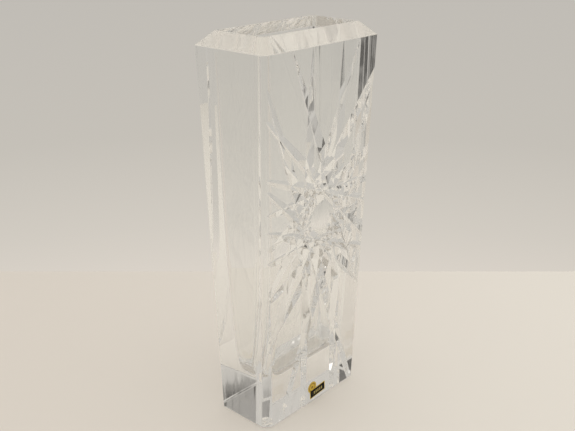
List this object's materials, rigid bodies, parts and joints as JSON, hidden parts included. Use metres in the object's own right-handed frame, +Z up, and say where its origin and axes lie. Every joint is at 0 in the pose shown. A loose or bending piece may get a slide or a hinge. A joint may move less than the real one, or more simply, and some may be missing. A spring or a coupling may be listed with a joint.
{
  "type": "cut crystal vase",
  "caption": "Tall rectangular clear crystal slab vase, tapering to a thick solid base, with a mitre-cut star and round lens on one wide face and a small foil label.",
  "frame": {"origin": "middle of the flat base", "axes": "+Z up to the rim, X along the wide faces, -Y out of the star-cut face"},
  "size_m": [0.0972, 0.0532, 0.234],
  "materials": {
    "crystal": "clear, polished",
    "gold_foil": "thin gold-coloured foil",
    "dark_panel": "dark printed film"
  },
  "bodies": {
    "root": {"crystal_body": "crystal", "label_foil": "gold_foil", "label_panel": "dark_panel"}
  },
  "joints": []
}
